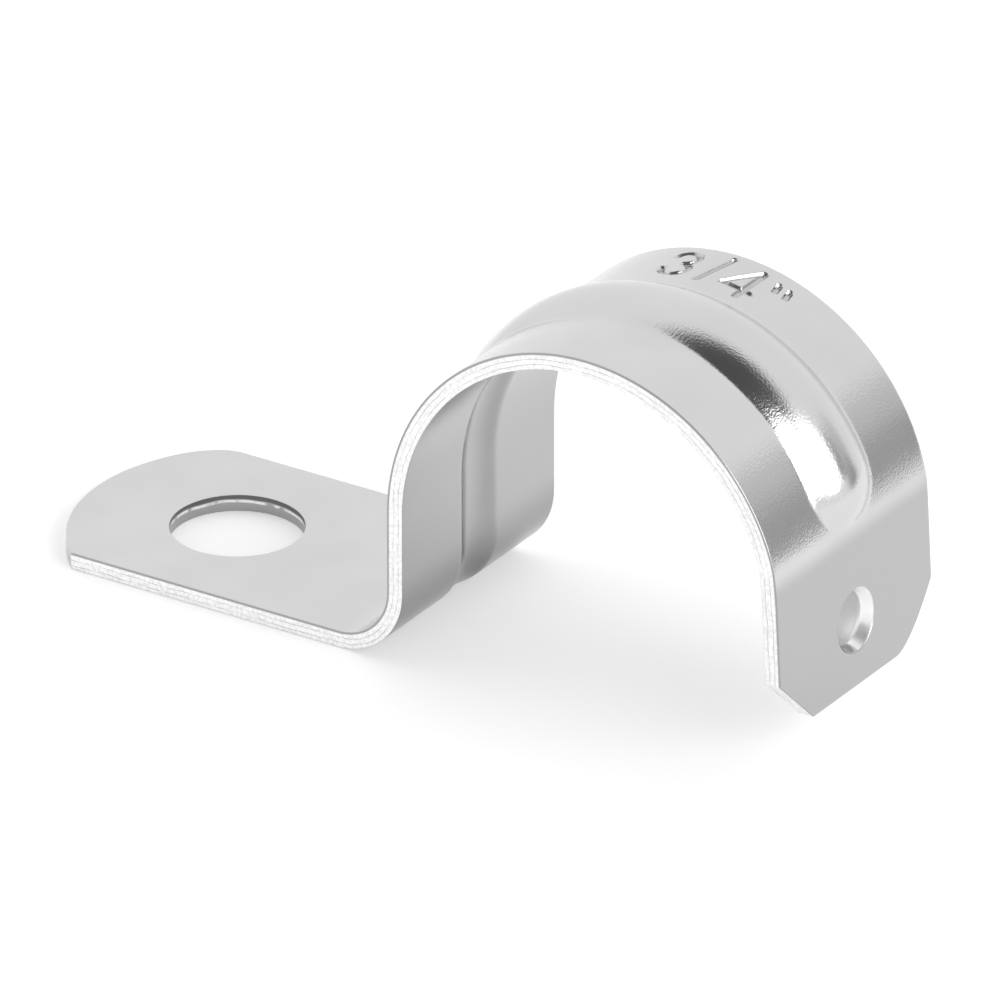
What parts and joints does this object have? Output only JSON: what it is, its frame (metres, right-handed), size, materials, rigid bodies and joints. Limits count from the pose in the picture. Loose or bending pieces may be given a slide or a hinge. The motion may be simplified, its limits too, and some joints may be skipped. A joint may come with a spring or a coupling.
{
  "type": "conduit strap",
  "caption": "One-hole strap pressed from one zinc plated steel sheet: a screw tab, a ribbed half-round arch over the conduit and a short dimpled flap.",
  "frame": {"origin": "centre of the screw hole, on the tab's underside, which lies on the wall", "axes": "+X from the screw hole to the arch, +Z away from the wall, Y along the conduit"},
  "size_m": [0.0502, 0.0156, 0.0228],
  "materials": {
    "zinc_plate": "bright zinc plating, satin, fine-grained"
  },
  "bodies": {
    "root": {"strap": "zinc_plate"}
  },
  "joints": []
}
